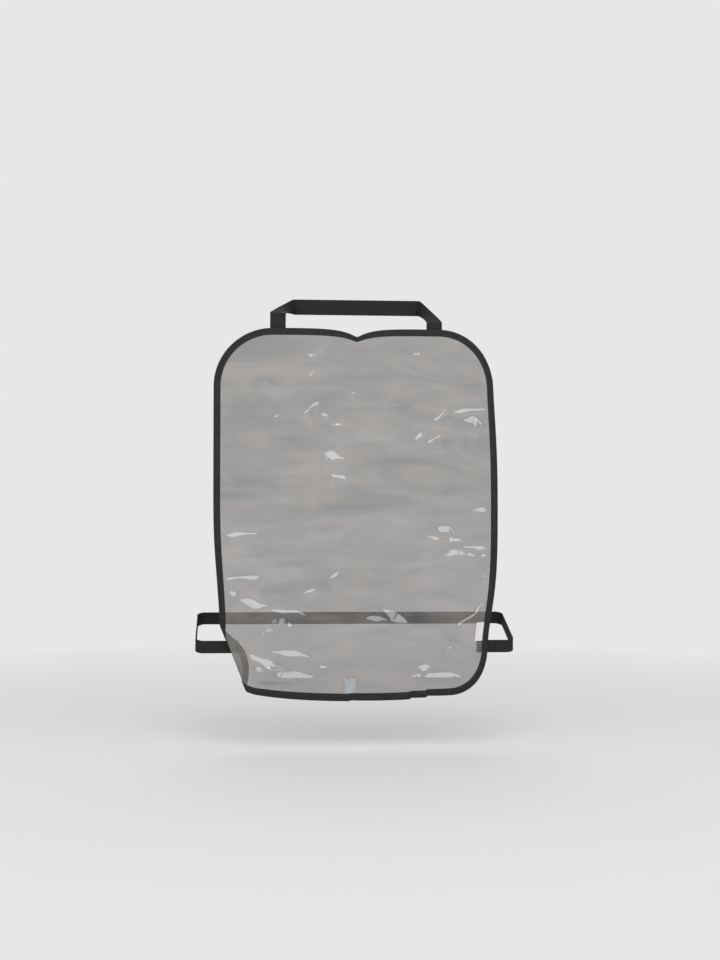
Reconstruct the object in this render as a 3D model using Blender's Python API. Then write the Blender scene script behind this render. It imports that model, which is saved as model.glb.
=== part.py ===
"""A kick mat of clear soft film, modelled as it hangs in use.

One wrinkled film panel is bound all round with woven tape. An upper elastic is sewn on at two
places and loops back and across behind the panel, and a lower elastic is sewn on near both
bottom corners and runs round behind. The bottom left corner is folded back behind the panel.
The origin is on the upper elastic, at the middle of the flat face that it hangs by. +X is to
the right, +Z is up, and the film faces -Y.
"""

import math

import bmesh
import bpy
from mathutils import Matrix, Vector

# Film panel as it is cut
PANEL_WIDTH = 0.4565
PANEL_HEIGHT = 0.583
TOP_RADIUS = 0.093
BOTTOM_RADIUS = 0.071
FILM_THICKNESS = 0.0005

# Binding tape, folded over the film's edge
BINDING_WIDTH = 0.011
TAPE_THICKNESS = 0.0006
CLEARANCE = 0.0003

# Elastic straps
STRAP_THICKNESS = 0.0012
UPPER_STRAP_WIDTH = 0.025
UPPER_STRAP_LAP = 0.0105
UPPER_STRAP_SPACING = 0.253
UPPER_STRAP_RISE = 0.040
LEFT_RISER = 0.023
RIGHT_RISER = 0.0105
SPAN_LEFT_INSET = 0.0285
SPAN_RIGHT_INSET = 0.022
STRAP_TURN = 0.004
HANG_DEPTH = 0.062
LOWER_STRAP_WIDTH = 0.020
LOWER_RIGHT_LAP = 0.018
LOWER_LEFT_LAP = 0.012
LOWER_STRAP_HEIGHT = 0.0734
LOOP_OVERHANG = 0.0275
LOOP_DEPTH = 0.125
LOOP_RISE = 0.035
LOOP_CORNER = 0.012

# Shape that the panel has taken up
NOTCH_DEPTH = 0.0136
NOTCH_REACH = 0.022
NOTCH_ROUNDING = 0.002
NOTCH_FADE = 0.045
BELLY_DEPTH = 0.0135
BELLY_FADE = 0.120
DROOP_DEPTH = 0.0025
DROOP_FADE = 0.080
CORNER_LIFT = 0.016
CORNER_LIFT_FADE = 0.060
PLEAT_RISE = 0.0024
PLEAT_WIDTH = 0.004
PLEAT_REACH = 0.040
PLEAT_FADE = 0.030
TUCK_DEPTH = 0.010
ROLL_HEIGHT = 0.0022
BOW_HEIGHT = 0.006
BOW_REACH = 0.110
EDGE_RIPPLE = 0.0012
EDGE_RIPPLES_UP = 1.4
EDGE_RIPPLES_ACROSS = 0.6
CREASE_HEIGHT = 0.005
CREASE_WIDTH = 0.014
CREASE_MARGIN = 0.034

# Bottom left corner, folded back about a slanting line
FOLD_HEIGHT = 0.115
FOLD_TOP_INSET = 0.0125
FOLD_BOTTOM_INSET = 0.058
FOLD_RADIUS = 0.0028
FOLD_STEPS = 8

# Sewn-in labels
SIDE_LABEL_WIDTH = 0.014
SIDE_LABEL_LENGTH = 0.030
CARE_LABEL_WIDTH = 0.0185
CARE_LABEL_LENGTH = 0.023
LABEL_THICKNESS = 0.0003
LABEL_LIFT = 0.0010

# Thread that sews the strap ends on
STITCH_LENGTH = 0.0038
STITCH_MARGIN = 0.0015
STITCH_ROWS = 3
THREAD_WIDTH = 0.0006
NEEDLE_FULLNESS = 0.55

# Fineness of the mesh
CELL = 0.0160
NOTCH_CELL = 0.005
ARC_STEPS = 7
BEND_STEPS = 12

# Where the panel hangs
PANEL_TOP = -UPPER_STRAP_RISE
PANEL_BOTTOM = PANEL_TOP - PANEL_HEIGHT
FILM_Y = -HANG_DEPTH
BINDING_HALF = FILM_THICKNESS / 2 + CLEARANCE + TAPE_THICKNESS
STRAP_OFFSET = BINDING_HALF + CLEARANCE + STRAP_THICKNESS / 2
LOWER_STRAP_Z = PANEL_BOTTOM + LOWER_STRAP_HEIGHT

# Sideways tucks in the panel's edges: side, height share, share of the depth, reach share
TUCKS = (
    (1, 0.90, 0.85, 0.19),
    (1, 0.11, 1.55, 0.15),
    (-1, 0.27, 0.60, 0.13),
    (-1, 0.155, 0.70, 0.10),
)

# Pleats in the bottom edge: place as a share of the half width, share of the rise
PLEATS = (
    (-0.04, 0.60),
    (0.39, 1.00),
    (0.51, 1.20),
)

# Soft rolls in the film: turns over the height, turns over the half width, start, height share
ROLLS = (
    (2.4, 0.22, 0.00, 1.00),
    (4.3, -0.37, 0.16, 0.68),
)

# Creases in the film: both ends as shares of the half width and of the height, height share
CREASES = (
    (-0.98, 0.51, -0.72, 0.51, 0.80),
    (-0.96, 0.46, -0.70, 0.45, -0.60),
    (-0.90, 0.29, -0.64, 0.16, 1.00),
    (-0.84, 0.10, -0.40, 0.05, 1.00),
    (-0.62, 0.135, -0.36, 0.13, -0.70),
    (0.60, 0.435, 0.88, 0.41, 0.90),
    (0.66, 0.37, 0.90, 0.40, -0.60),
    (0.30, 0.34, 0.70, 0.29, 0.90),
    (0.92, 0.26, 0.60, 0.09, 1.00),
    (0.40, 0.055, 0.76, 0.045, 0.90),
    (-0.18, 0.72, -0.07, 0.58, 0.70),
    (-0.26, 0.94, -0.36, 0.84, 0.70),
    (0.70, 0.78, 0.62, 0.66, -0.60),
    (-0.80, 0.70, -0.30, 0.66, 0.60),
    (0.10, 0.52, 0.52, 0.55, 0.56),
    (-0.50, 0.40, 0.02, 0.37, -0.56),
)


def clear_scene():
    for item in list(bpy.data.objects):
        bpy.data.objects.remove(item, do_unlink=True)


def smooth(value):
    value = min(max(value, 0.0), 1.0)
    return value * value * (3 - 2 * value)


def grid_lines(low, high):
    """Evenly spaced lines from low to high, about one cell apart and even in number of cells."""
    cells = 2 * max(1, round((high - low) / CELL / 2))
    return [low + (high - low) * index / cells for index in range(cells + 1)]


def panel_columns():
    """Upright grid lines of the panel, closer together at the notch and at the pleats."""
    lines = grid_lines(-PANEL_WIDTH / 2, PANEL_WIDTH / 2)
    lines += [side * NOTCH_CELL * count for side in (-1, 1) for count in (1, 2)]
    for place, rise in PLEATS:
        lines += [place * PANEL_WIDTH / 2 + side * PLEAT_WIDTH / 2 for side in (-1, 1)]
    lines.sort()
    return [line for line, after in zip(lines, lines[1:]) if after - line > PLEAT_WIDTH / 2] + lines[-1:]


def panel_rows():
    return grid_lines(PANEL_BOTTOM, PANEL_TOP)


def cut_edge(inset):
    """The cut outline, moved in by inset, once round from the right-hand side and up."""
    half = PANEL_WIDTH / 2
    top = PANEL_TOP - TOP_RADIUS
    bottom = PANEL_BOTTOM + BOTTOM_RADIUS
    corners = (
        (half - TOP_RADIUS, top, TOP_RADIUS),
        (TOP_RADIUS - half, top, TOP_RADIUS),
        (BOTTOM_RADIUS - half, bottom, BOTTOM_RADIUS),
        (half - BOTTOM_RADIUS, bottom, BOTTOM_RADIUS),
    )
    arcs = []
    for quarter, (across, up, radius) in enumerate(corners):
        angles = [(quarter + step / ARC_STEPS) * math.pi / 2 for step in range(ARC_STEPS + 1)]
        reach = radius - inset
        arcs.append([Vector((across + reach * math.cos(a), up + reach * math.sin(a), 0)) for a in angles])
    points = []
    for quarter, arc in enumerate(arcs):
        points += arc
        start, end = arc[-1], arcs[(quarter + 1) % 4][0]
        axis = quarter % 2
        lines = panel_rows() if axis else panel_columns()
        margin = CELL / 4
        low, high = sorted((start[axis], end[axis]))
        between = [line for line in lines if low + margin < line < high - margin]
        if end[axis] < start[axis]:
            between.reverse()
        points += [start.lerp(end, (line - start[axis]) / (end[axis] - start[axis])) for line in between]
    return points


def pull(point):
    """Moves a point of the flat cut panel to where it is pulled within its own plane."""
    across, up, height = point
    share = across / (PANEL_WIDTH / 2)
    from_centre = math.hypot(across, NOTCH_ROUNDING) - NOTCH_ROUNDING
    notch = NOTCH_DEPTH * math.exp(-from_centre / NOTCH_REACH) * math.exp((up - PANEL_TOP) / NOTCH_FADE)
    belly = BELLY_DEPTH * math.cos(share * math.pi / 2) * math.exp((PANEL_BOTTOM - up) / BELLY_FADE)
    droop = DROOP_DEPTH * abs(share) ** 3 * math.exp((up - PANEL_TOP) / DROOP_FADE)
    lift = CORNER_LIFT * max(-share, 0.0) ** 4 * math.exp((PANEL_BOTTOM - up) / CORNER_LIFT_FADE)
    for place, rise in PLEATS:
        beyond = across - place * PANEL_WIDTH / 2
        fade = max(beyond, 0.0) / PLEAT_REACH + (up - PANEL_BOTTOM) / PLEAT_FADE
        lift += PLEAT_RISE * rise * smooth(beyond / PLEAT_WIDTH + 0.5) * math.exp(-fade)
    shift = 0.0
    for side, middle, depth, reach in TUCKS:
        away = (up - PANEL_BOTTOM - middle * PANEL_HEIGHT) / (reach * PANEL_HEIGHT)
        shift -= side * TUCK_DEPTH * depth * max(side * share, 0.0) ** 2 * math.exp(-away * away)
    return Vector((across + shift, up - notch - belly - droop + lift, height))


def inside_depth(across, up):
    """How far a point lies inside the cut outline."""
    radius = (TOP_RADIUS + BOTTOM_RADIUS) / 2
    over = Vector((abs(across) - PANEL_WIDTH / 2 + radius,
                   abs(up - (PANEL_TOP + PANEL_BOTTOM) / 2) - PANEL_HEIGHT / 2 + radius))
    outer = Vector((max(over.x, 0), max(over.y, 0))).length
    return radius - outer - min(max(over.x, over.y), 0)


def fold_line():
    """A point on the corner's fold line, and the direction square to it, towards the corner."""
    left = -PANEL_WIDTH / 2
    start = Vector((left + FOLD_TOP_INSET, PANEL_BOTTOM + FOLD_HEIGHT, 0))
    end = Vector((left + FOLD_BOTTOM_INSET, PANEL_BOTTOM, 0))
    along = (end - start).normalized()
    return start, Vector((along.y, -along.x, 0))


def past_fold(point):
    """How far a point of the pulled panel lies beyond the fold line."""
    start, outward = fold_line()
    return (point - start).dot(outward)


def billow(across, up):
    """How far the hanging film stands forward of its plane."""
    share_across = across / (PANEL_WIDTH / 2)
    share_up = (up - PANEL_BOTTOM) / PANEL_HEIGHT
    depth = min(inside_depth(across, up), -past_fold(Vector((across, up, 0)))) - BINDING_WIDTH
    slack = smooth(depth / BOW_REACH)
    height = slack * BOW_HEIGHT
    for turns_up, turns_across, start, rise in ROLLS:
        turns = turns_up * share_up + turns_across * share_across + start
        height += slack * ROLL_HEIGHT * rise * math.sin(math.tau * turns)
    ripples = EDGE_RIPPLES_UP * share_up + EDGE_RIPPLES_ACROSS * share_across
    height += EDGE_RIPPLE * math.sin(math.tau * ripples)
    point = Vector((across, up))
    for start_x, start_z, end_x, end_z, rise in CREASES:
        start = Vector((start_x * PANEL_WIDTH / 2, PANEL_BOTTOM + start_z * PANEL_HEIGHT))
        along = Vector((end_x * PANEL_WIDTH / 2, PANEL_BOTTOM + end_z * PANEL_HEIGHT)) - start
        share = min(max((point - start).dot(along) / along.length_squared, 0.0), 1.0)
        gap = (point - start - along * share).length
        ridge = CREASE_HEIGHT * rise * math.exp(-(gap / CREASE_WIDTH) ** 2)
        height += ridge * smooth(depth / CREASE_MARGIN)
    return height


def hang(point):
    """Takes a point of the pulled panel (across, up, height over the film) to its hanging place."""
    outward = fold_line()[1]
    past = max(past_fold(point), 0.0)
    angle = min(past / FOLD_RADIUS, math.pi)
    turned = past - angle * FOLD_RADIUS
    radius = FOLD_RADIUS + point.z
    foot = point - outward * past
    place = foot + outward * (radius * math.sin(angle) - turned)
    behind = FOLD_RADIUS - radius * math.cos(angle)
    return Vector((place.x, FILM_Y + behind - billow(foot.x, foot.y), place.y))


def cut_along(mesh, point, normal):
    """Adds edges to a mesh where a plane crosses it."""
    everything = mesh.verts[:] + mesh.edges[:] + mesh.faces[:]
    bmesh.ops.bisect_plane(mesh, geom=everything, dist=1e-7, plane_co=point, plane_no=normal)


def hang_mesh(mesh):
    """Pulls a mesh that lies in the flat panel's frame, cuts it at the fold and hangs it."""
    for vert in mesh.verts:
        vert.co = pull(vert.co)
    start, outward = fold_line()
    for step in range(FOLD_STEPS + 1):
        cut_along(mesh, start + outward * FOLD_RADIUS * math.pi * step / FOLD_STEPS, outward)
    bmesh.ops.triangulate(mesh, faces=mesh.faces[:])
    for vert in mesh.verts:
        vert.co = hang(vert.co)


def finish_object(name, mesh, material):
    """Turns a closed mesh into a named object."""
    bmesh.ops.recalc_face_normals(mesh, faces=mesh.faces[:])
    data = bpy.data.meshes.new(name)
    mesh.to_mesh(data)
    mesh.free()
    data.materials.append(material)
    data.shade_smooth()
    data.set_sharp_from_angle(angle=math.radians(40))
    item = bpy.data.objects.new(name, data)
    bpy.context.collection.objects.link(item)
    return item


def make_material(name, colour, roughness, alpha=1.0):
    material = bpy.data.materials.new(name)
    material.use_nodes = True
    shader = material.node_tree.nodes["Principled BSDF"]
    shader.inputs["Base Color"].default_value = (*colour, 1.0)
    shader.inputs["Roughness"].default_value = roughness
    shader.inputs["Metallic"].default_value = 0.0
    shader.inputs["Alpha"].default_value = alpha
    return material


def make_film():
    """The clear film: a thin slab of the cut outline, with an edge where the binding ends."""
    outlines = (cut_edge(TAPE_THICKNESS + CLEARANCE), cut_edge(BINDING_WIDTH))
    mesh = bmesh.new()
    loops = []
    for outline, side in ((1, -1), (0, -1), (0, 1), (1, 1)):
        height = side * FILM_THICKNESS / 2
        loops.append([mesh.verts.new((p.x, p.y, height)) for p in outlines[outline]])
    for loop, beside in zip(loops, loops[1:]):
        for index in range(len(loop)):
            after = (index + 1) % len(loop)
            mesh.faces.new((loop[index], loop[after], beside[after], beside[index]))
    mesh.faces.new(reversed(loops[0]))
    mesh.faces.new(loops[3])
    for line in panel_columns()[1:-1]:
        cut_along(mesh, (line, 0, 0), (1, 0, 0))
    for line in panel_rows()[1:-1]:
        cut_along(mesh, (0, line, 0), (0, 1, 0))
    hang_mesh(mesh)
    film = make_material("clear_film", (0.36, 0.35, 0.34), 0.12, alpha=0.3)
    return finish_object("film_panel", mesh, film)


def make_binding():
    """The woven tape: a U-shaped section that runs once round over the film's edge."""
    inner = FILM_THICKNESS / 2 + CLEARANCE
    outer = BINDING_HALF
    corner = TAPE_THICKNESS / 2
    section = (
        (0, -outer + corner),
        (0, outer - corner),
        (corner, outer),
        (BINDING_WIDTH, outer),
        (BINDING_WIDTH, inner),
        (TAPE_THICKNESS, inner),
        (TAPE_THICKNESS, -inner),
        (BINDING_WIDTH, -inner),
        (BINDING_WIDTH, -outer),
        (corner, -outer),
    )
    mesh = bmesh.new()
    loops = []
    for inset, height in section:
        loops.append([mesh.verts.new((p.x, p.y, height)) for p in cut_edge(inset)])
    stations = len(loops[0])
    for turn, loop in enumerate(loops):
        beside = loops[(turn + 1) % len(loops)]
        for index in range(stations):
            after = (index + 1) % stations
            mesh.faces.new((loop[index], loop[after], beside[after], beside[index]))
    hang_mesh(mesh)
    tape = make_material("black_binding_tape", (0.020, 0.020, 0.022), 0.78)
    return finish_object("edge_binding", mesh, tape)


def bend(start, start_way, end, end_way):
    """Points on a smooth curve between two places, with its directions at both ends."""
    points = []
    for step in range(1, BEND_STEPS):
        share = step / BEND_STEPS
        rest = 1 - share
        points.append(start * rest ** 3 + (start + start_way) * 3 * rest * rest * share
                      + (end - end_way) * 3 * rest * share * share + end * share ** 3)
    return points


def sweep_strap(name, centres, edge_ways, width, material):
    """A flat strap along its centre points, with the way to its one edge at each point.

    A way shorter than one draws both edges in, as a twist does to a stretched strap.
    """
    mesh = bmesh.new()
    rings = []
    for index, (centre, way) in enumerate(zip(centres, edge_ways)):
        before = centres[max(index - 1, 0)]
        after = centres[min(index + 1, len(centres) - 1)]
        along = (after - before).normalized()
        across = (way - along * way.dot(along)).normalized() * way.length * width / 2
        through = along.cross(across).normalized() * STRAP_THICKNESS / 2
        corners = (across + through, across - through, -across - through, -across + through)
        rings.append([mesh.verts.new(centre + corner) for corner in corners])
    for ring, beyond in zip(rings, rings[1:]):
        for side in range(4):
            after = (side + 1) % 4
            mesh.faces.new((ring[side], ring[after], beyond[after], beyond[side]))
    mesh.faces.new(rings[0])
    mesh.faces.new(rings[-1])
    return finish_object(name, mesh, material)


def upper_strap_side(side):
    """Centre points and edge ways of one side of the upper strap, from its sewn end up.

    It stands straight up from the panel, runs slanting back and inward with a quarter twist, and
    lies straight again a little before its flat span begins.
    """
    at = side * UPPER_STRAP_SPACING / 2
    behind = -STRAP_OFFSET
    low = PANEL_TOP - UPPER_STRAP_LAP
    sewn = [hang(Vector((at, low + (PANEL_TOP - low) * step / 3, behind))) for step in range(4)]
    top = sewn[-1] + Vector((0, 0, RIGHT_RISER if side > 0 else LEFT_RISER))
    inset = SPAN_RIGHT_INSET if side > 0 else SPAN_LEFT_INSET
    inward = Vector((-side * STRAP_TURN, 0, 0))
    behind_end = Vector((side * (UPPER_STRAP_SPACING / 2 - inset), STRAP_THICKNESS / 2, 0))
    slant = bend(top, Vector((0, 0, STRAP_TURN)), behind_end, inward)
    centres = sewn + [top] + slant + [behind_end, behind_end + inward]
    shares = [smooth((index - 4) / (len(centres) - 6)) for index in range(len(centres))]
    return centres, [Vector((side * (1 - share), 0, share)) for share in shares]


def make_upper_strap(elastic):
    """The upper elastic: two sewn risers that slant back and join in one straight span behind."""
    left, left_ways = upper_strap_side(-1)
    right, right_ways = upper_strap_side(1)
    centres = left + right[::-1]
    ways = left_ways + right_ways[::-1]
    return sweep_strap("upper_strap", centres, ways, UPPER_STRAP_WIDTH, elastic)


def loop_side(side, front, back):
    """One side of the lower strap's loop, from its front strand round and up to its far span."""
    reach = PANEL_WIDTH / 2 + LOOP_OVERHANG
    low = LOWER_STRAP_Z
    high = LOWER_STRAP_Z + LOOP_RISE
    climb = Vector((0, 1, LOOP_RISE / LOOP_DEPTH)) * LOOP_CORNER
    outward = Vector((side * LOOP_CORNER, 0, 0))
    leave = Vector((side * (reach - LOOP_CORNER), front, low))
    turned = Vector((side * reach, front, low)) + climb
    arrive = Vector((side * reach, back, high)) - climb
    far = Vector((side * (reach - LOOP_CORNER), back, high))
    first = bend(leave, outward / 2, turned, climb / 2)
    last = bend(arrive, climb / 2, far, -outward / 2)
    return [leave] + first[::2] + [turned, (turned + arrive) / 2, arrive] + last[::2] + [far]


def lower_strap_route():
    """Centre points of the lower elastic, from its right-hand sewn end round behind to the left.

    The right end is sewn behind the binding. The left end is sewn behind the folded-back corner.
    """
    edge = pull(Vector((PANEL_WIDTH / 2, LOWER_STRAP_Z, 0))).x
    laps = [edge - LOWER_RIGHT_LAP * (1 - step / 3) for step in range(4)]
    sewn = [hang(Vector((across, LOWER_STRAP_Z, -STRAP_OFFSET))) for across in laps]
    back = FILM_Y + LOOP_DEPTH
    start, outward = fold_line()
    crease = start.x + (start.y - LOWER_STRAP_Z) * outward.y / outward.x
    flap = FILM_Y + 2 * FOLD_RADIUS + STRAP_OFFSET - billow(crease, LOWER_STRAP_Z)
    left = [Vector((crease + LOWER_LEFT_LAP * share, flap, LOWER_STRAP_Z)) for share in (0, 0.5, 1)]
    return sewn + loop_side(1, sewn[-1].y, back) + loop_side(-1, flap, back)[::-1] + left


def make_lower_strap(elastic):
    """The lower elastic: both ends sewn on near the bottom corners, and one loop round behind."""
    centres = lower_strap_route()
    ways = [Vector((0, 0, 1))] * len(centres)
    return sweep_strap("lower_strap", centres, ways, LOWER_STRAP_WIDTH, elastic)


def add_slab(mesh, low, high, cells=(1, 1)):
    """Adds a closed box to a mesh, cut into cells across its first two directions."""
    slab = bmesh.new()
    size = Vector(high) - Vector(low)
    place = Matrix.Translation((Vector(high) + Vector(low)) / 2) @ Matrix.Diagonal((*size, 1))
    bmesh.ops.create_cube(slab, size=1, matrix=place)
    for axis in (0, 1):
        normal = Vector((0, 0, 0))
        normal[axis] = 1
        for cell in range(1, cells[axis]):
            point = Vector(low)
            point[axis] += size[axis] * cell / cells[axis]
            cut_along(slab, point, normal)
    data = bpy.data.meshes.new("slab")
    slab.to_mesh(data)
    slab.free()
    mesh.from_mesh(data)
    bpy.data.meshes.remove(data)


def make_label(name, low, high, material):
    """A small woven label, sewn in at the binding's inner edge and lying on the film."""
    mesh = bmesh.new()
    add_slab(mesh, low, high, cells=(3, 4))
    hang_mesh(mesh)
    return finish_object(name, mesh, material)


def make_labels():
    lowest = FILM_THICKNESS / 2 + LABEL_LIFT
    highest = lowest + LABEL_THICKNESS
    white = make_material("white_label", (0.82, 0.78, 0.78), 0.6)
    pale = make_material("pale_label", (0.27, 0.28, 0.29), 0.5)
    edge = PANEL_WIDTH / 2 - BINDING_WIDTH - CLEARANCE
    bottom = LOWER_STRAP_Z + LOWER_STRAP_WIDTH / 2
    make_label("side_label", (edge - SIDE_LABEL_WIDTH, bottom, lowest),
               (edge, bottom + SIDE_LABEL_LENGTH, highest), white)
    foot = PANEL_BOTTOM + BINDING_WIDTH + CLEARANCE
    make_label("care_label", (-CARE_LABEL_WIDTH, foot, lowest), (0, foot + CARE_LABEL_LENGTH, highest), pale)


def thread_route(width):
    """A thread's route for sewing a strap end on: rows to and fro, joined at their ends.

    Each point gives the place along the strap's width, the distance from the binding's edge and
    how full the thread stands, which is least where the needle went through.
    """
    stitches = max(1, round((width - 2 * STITCH_MARGIN) / STITCH_LENGTH))
    route = []
    for row in range(STITCH_ROWS):
        from_edge = BINDING_WIDTH * (row + 0.5) / STITCH_ROWS
        steps = range(2 * stitches + 1)
        places = [(step / (2 * stitches) - 0.5) * (width - 2 * STITCH_MARGIN) for step in steps]
        fullness = [1.0 if step % 2 else NEEDLE_FULLNESS for step in steps]
        if row % 2:
            places.reverse()
        route += [(place, from_edge, full) for place, full in zip(places, fullness)]
    return route


def make_stitching(name, width, to_panel, to_place, thread):
    """The thread of one strap end; to_panel lays the route out flat and to_place hangs it."""
    route = thread_route(width)
    flat = [to_panel(along, from_edge) for along, from_edge, full in route]
    mesh = bmesh.new()
    rings = []
    for index, (point, (along, from_edge, full)) in enumerate(zip(flat, route)):
        before = (point - flat[index - 1]).normalized() if index else None
        after = (flat[index + 1] - point).normalized() if index + 1 < len(flat) else None
        before = before or after
        after = after or before
        mitre = (before.orthogonal() + after.orthogonal()) * THREAD_WIDTH / 2 / (1 + before.dot(after))
        top = THREAD_WIDTH * full
        corners = ((mitre, 0), (mitre, top), (-mitre, top), (-mitre, 0))
        rings.append([mesh.verts.new(to_place(point + aside, rise)) for aside, rise in corners])
    for ring, beyond in zip(rings, rings[1:]):
        for side in range(4):
            after = (side + 1) % 4
            mesh.faces.new((ring[side], ring[after], beyond[after], beyond[side]))
    mesh.faces.new(rings[0])
    mesh.faces.new(rings[-1])
    return finish_object(name, mesh, thread)


def on_panel(point, rise):
    """A place on the binding's face, at a height over its clearance."""
    return hang(pull(Vector((point.x, point.y, BINDING_HALF + CLEARANCE + rise))))


def make_all_stitching():
    """Thread at the four strap ends: on the binding's face, and on the strap where it shows behind."""
    thread = make_material("black_thread", (0.030, 0.030, 0.033), 0.6)
    for name, side in (("upper_left_stitching", -1), ("upper_right_stitching", 1)):
        centre = side * UPPER_STRAP_SPACING / 2
        make_stitching(name, UPPER_STRAP_WIDTH,
                       lambda along, row, centre=centre: Vector((centre + along, PANEL_TOP - row)),
                       on_panel, thread)
    make_stitching("lower_right_stitching", LOWER_STRAP_WIDTH,
                   lambda along, row: Vector((PANEL_WIDTH / 2 - row, LOWER_STRAP_Z + along)),
                   on_panel, thread)
    end = lower_strap_route()[-3]
    face = end.y + STRAP_THICKNESS / 2 + CLEARANCE
    make_stitching("lower_left_stitching", LOWER_STRAP_WIDTH,
                   lambda along, row: Vector((end.x + row, LOWER_STRAP_Z + along)),
                   lambda point, rise: Vector((point.x, face + rise, point.y)), thread)


def build():
    clear_scene()
    elastic = make_material("black_elastic", (0.016, 0.016, 0.017), 0.7)
    make_film()
    make_binding()
    make_upper_strap(elastic)
    make_lower_strap(elastic)
    make_labels()
    make_all_stitching()


build()
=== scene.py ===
import math

import bpy
import numpy as np
from mathutils import Euler, Matrix, Vector


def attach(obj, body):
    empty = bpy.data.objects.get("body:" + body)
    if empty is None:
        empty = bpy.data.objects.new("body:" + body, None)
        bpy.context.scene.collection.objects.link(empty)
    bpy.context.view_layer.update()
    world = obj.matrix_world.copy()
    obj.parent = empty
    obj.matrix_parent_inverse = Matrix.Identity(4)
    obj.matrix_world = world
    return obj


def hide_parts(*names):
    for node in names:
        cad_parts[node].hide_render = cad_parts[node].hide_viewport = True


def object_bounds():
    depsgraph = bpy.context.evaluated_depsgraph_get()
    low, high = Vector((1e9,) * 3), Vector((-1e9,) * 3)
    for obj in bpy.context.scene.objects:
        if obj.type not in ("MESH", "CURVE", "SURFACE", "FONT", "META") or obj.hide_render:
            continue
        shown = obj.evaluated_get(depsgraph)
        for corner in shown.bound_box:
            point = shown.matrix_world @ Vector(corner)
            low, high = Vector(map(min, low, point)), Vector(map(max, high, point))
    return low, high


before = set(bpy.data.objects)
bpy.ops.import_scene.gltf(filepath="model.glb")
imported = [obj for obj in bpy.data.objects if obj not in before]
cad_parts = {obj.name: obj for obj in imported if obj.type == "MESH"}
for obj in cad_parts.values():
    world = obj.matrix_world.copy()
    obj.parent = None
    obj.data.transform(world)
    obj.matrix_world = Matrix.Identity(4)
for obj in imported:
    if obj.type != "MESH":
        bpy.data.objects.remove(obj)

cad_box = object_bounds()

# The studio: a plain pale floor that fades into a plain pale surround, a long soft light and a
# small one high in front, one on each side and one behind, and a camera a little to the left of
# the mat's middle. The mat hangs clear of the floor, as it does in use.
PHOTO_HEIGHT = 960
METRES_PER_PIXEL = 0.0016
VIEW_DISTANCE = 2.4
VIEW_YAW = math.radians(4.3)
VIEW_ROLL = math.radians(0.2)
VIEW_AIM = Vector((0.0055, -0.062, -0.2825))
SENSOR = 36.0
SURROUND = (0.80, 0.80, 0.80)
SKY_STRENGTH = 0.62
GLOSS_STRENGTH = 0.25
FLOOR_DROP = 0.075
FLOOR_RADIUS = 9.0
FLOOR_ROUGHNESS = 0.9
FLOOR_FADE = (0.55, 1.7)
FLOOR_DULLING = 0.6
LIGHTS_AIM = Vector((0, -0.06, -0.33))
LAMP_SPOTS = 9
LAMP_SPOTS_END = 0.4

# Lights: name, degrees round from the front and up, metres away, width, height, watts and colour
SOFT_LIGHTS = (
    ("long_light", 0, 40, 2.4, 2.8, 0.8, 13, (0.93, 0.97, 1.0)),
    ("small_light", 0, 64, 2.2, 0.6, 0.5, 6, (1.0, 1.0, 1.0)),
    ("left_light", -52, 25, 2.1, 0.5, 1.5, 5, (1.0, 1.0, 1.0)),
    ("right_light", 48, 25, 2.1, 0.5, 1.5, 5, (1.0, 1.0, 1.0)),
    ("rear_light", 180, 50, 2.4, 1.8, 1.2, 12, (1.0, 1.0, 1.0)),
)

camera = bpy.data.objects.new("camera", bpy.data.cameras.new("camera"))
camera.data.sensor_fit = "VERTICAL"
camera.data.sensor_height = SENSOR
camera.data.lens = SENSOR * VIEW_DISTANCE / (PHOTO_HEIGHT * METRES_PER_PIXEL)
camera.location = VIEW_AIM - VIEW_DISTANCE * Vector((math.sin(VIEW_YAW), math.cos(VIEW_YAW), 0))
upright = Euler((math.pi / 2, 0, -VIEW_YAW)).to_matrix()
camera.rotation_euler = (upright @ Matrix.Rotation(VIEW_ROLL, 3, "Z")).to_euler()
bpy.context.scene.collection.objects.link(camera)
bpy.context.scene.camera = camera
bpy.context.scene.view_settings.view_transform = "Standard"


class Wire:
    """One output in a material's nodes; arithmetic on it adds Math nodes."""

    def __init__(self, tree, socket=None):
        self.tree = tree
        self.socket = socket

    def node(self, kind, settings=None, output=0, **values):
        """Adds a node: its settings, then its inputs, by name with _ for a space or by place, as i0."""
        node = self.tree.nodes.new(kind)
        for name, value in (settings or {}).items():
            setattr(node, name, value)
        for name, value in values.items():
            socket = node.inputs[int(name[1:]) if name[1:].isdigit() else name.replace("_", " ")]
            if isinstance(value, Wire):
                self.tree.links.new(value.socket, socket)
            else:
                socket.default_value = value
        return Wire(self.tree, node.outputs[output])

    def math(self, operation, first, second=0.0):
        return self.node("ShaderNodeMath", {"operation": operation}, i0=first, i1=second)

    def __add__(self, other):
        return self.math("ADD", self, other)

    def __radd__(self, other):
        return self.math("ADD", other, self)

    def __sub__(self, other):
        return self.math("SUBTRACT", self, other)

    def __rsub__(self, other):
        return self.math("SUBTRACT", other, self)

    def __mul__(self, other):
        return self.math("MULTIPLY", self, other)

    def __rmul__(self, other):
        return self.math("MULTIPLY", other, self)

    def waves(self, length):
        """A sine wave with one crest in each length."""
        return self.math("SINE", self * (math.tau / length))

    def range(self, low, high, start=0.0, end=1.0):
        """Maps low..high to start..end, held at both ends."""
        return self.node("ShaderNodeMapRange", i0=self, i1=low, i2=high, i3=start, i4=end)

    def mix(self, colour, other):
        """A colour where this wire is 0 and another where it is 1."""
        return self.node("ShaderNodeMix", {"data_type": "RGBA"}, output=2, i0=self, i6=colour, i7=other)


def start_finish(name):
    """A new material with empty nodes: the material and a wire to build from."""
    finish = bpy.data.materials.new(name)
    finish.use_nodes = True
    finish.node_tree.nodes.clear()
    return finish, Wire(finish.node_tree)


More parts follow.
